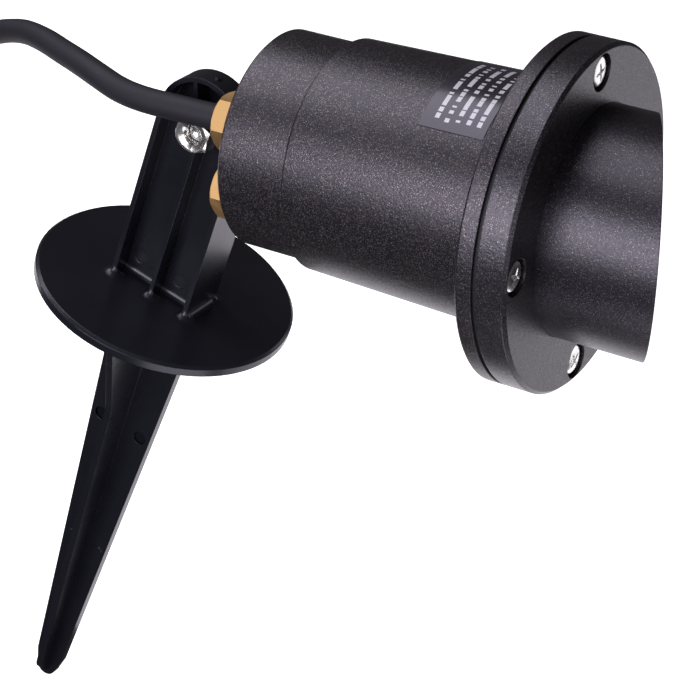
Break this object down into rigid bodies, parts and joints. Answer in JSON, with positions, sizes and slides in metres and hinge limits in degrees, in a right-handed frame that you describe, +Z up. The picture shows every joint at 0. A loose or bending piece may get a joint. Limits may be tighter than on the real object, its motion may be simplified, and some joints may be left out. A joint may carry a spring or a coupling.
{
  "type": "light projector stake",
  "caption": "Outdoor spot lamp that tilts on a moulded ground stake, with a slanted glare shield, brass cable glands and a mains cord.",
  "frame": {"origin": "centre of the ground disc's underside, level with the ground when the spike is pushed in", "axes": "+Z up the stake, +X the way the lamp looks, +Y along the pivot bolt towards its head"},
  "size_m": [0.3312, 0.1234, 0.2872],
  "materials": {
    "stake_plastic": "satin blue-black moulded plastic",
    "bright_steel": "bright zinc-plated or stainless steel",
    "dark_coat": "anthracite textured powder coat with fine sparkle on die-cast aluminium",
    "black_rubber": "matte black rubber",
    "clear_glass": "clear toughened glass",
    "label_film": "dark glossy film with rows of plain pale dashes, no lettering",
    "gland_brass": "plain brass",
    "bulb_plastic": "light grey plastic bulb body",
    "lens_plastic": "clear lens front",
    "holder_ceramic": "glazed white ceramic",
    "zinc_steel": "zinc-plated sheet steel",
    "white_plastic": "white terminal plastic",
    "cord_rubber": "matte black rubber sheath",
    "tie_plastic": "black strap",
    "plug_rubber": "matte black moulded rubber"
  },
  "bodies": {
    "stake": {"stake": "stake_plastic", "pivot_bolt": "bright_steel", "pivot_nut": "bright_steel", "pivot_washer": "bright_steel", "power_cord": "cord_rubber", "cord_tail": "cord_rubber", "cord_coil": "cord_rubber", "coil_tie": "tie_plastic", "plug_body": "plug_rubber", "plug_pins": "bright_steel", "plug_earth_clips": "gland_brass"},
    "lamp": {"rear_cap": "dark_coat", "cap_seal": "black_rubber", "housing_tube": "dark_coat", "flange_gasket": "black_rubber", "glass_gasket": "black_rubber", "front_glass": "clear_glass", "front_ring": "dark_coat", "glare_shield": "dark_coat", "ring_screws": "bright_steel", "rating_label": "label_film", "gland_upper": "gland_brass", "gland_lower": "gland_brass", "gland_seal": "black_rubber", "blanking_plug": "black_rubber", "bulb_shell": "bulb_plastic", "bulb_lens": "lens_plastic", "bulb_pins": "bright_steel", "lampholder": "holder_ceramic", "holder_bracket": "zinc_steel", "holder_screws": "bright_steel", "terminal_block": "white_plastic", "terminal_screws": "gland_brass"}
  },
  "joints": [
    {"name": "lamp_tilt", "type": "hinge", "parent": "stake", "child": "lamp", "pos_m": [0, 0.002, 0.0582], "axis": [0, -1, 0], "range_deg": [-15, 60], "deforming": ["power_cord"]}
  ]
}
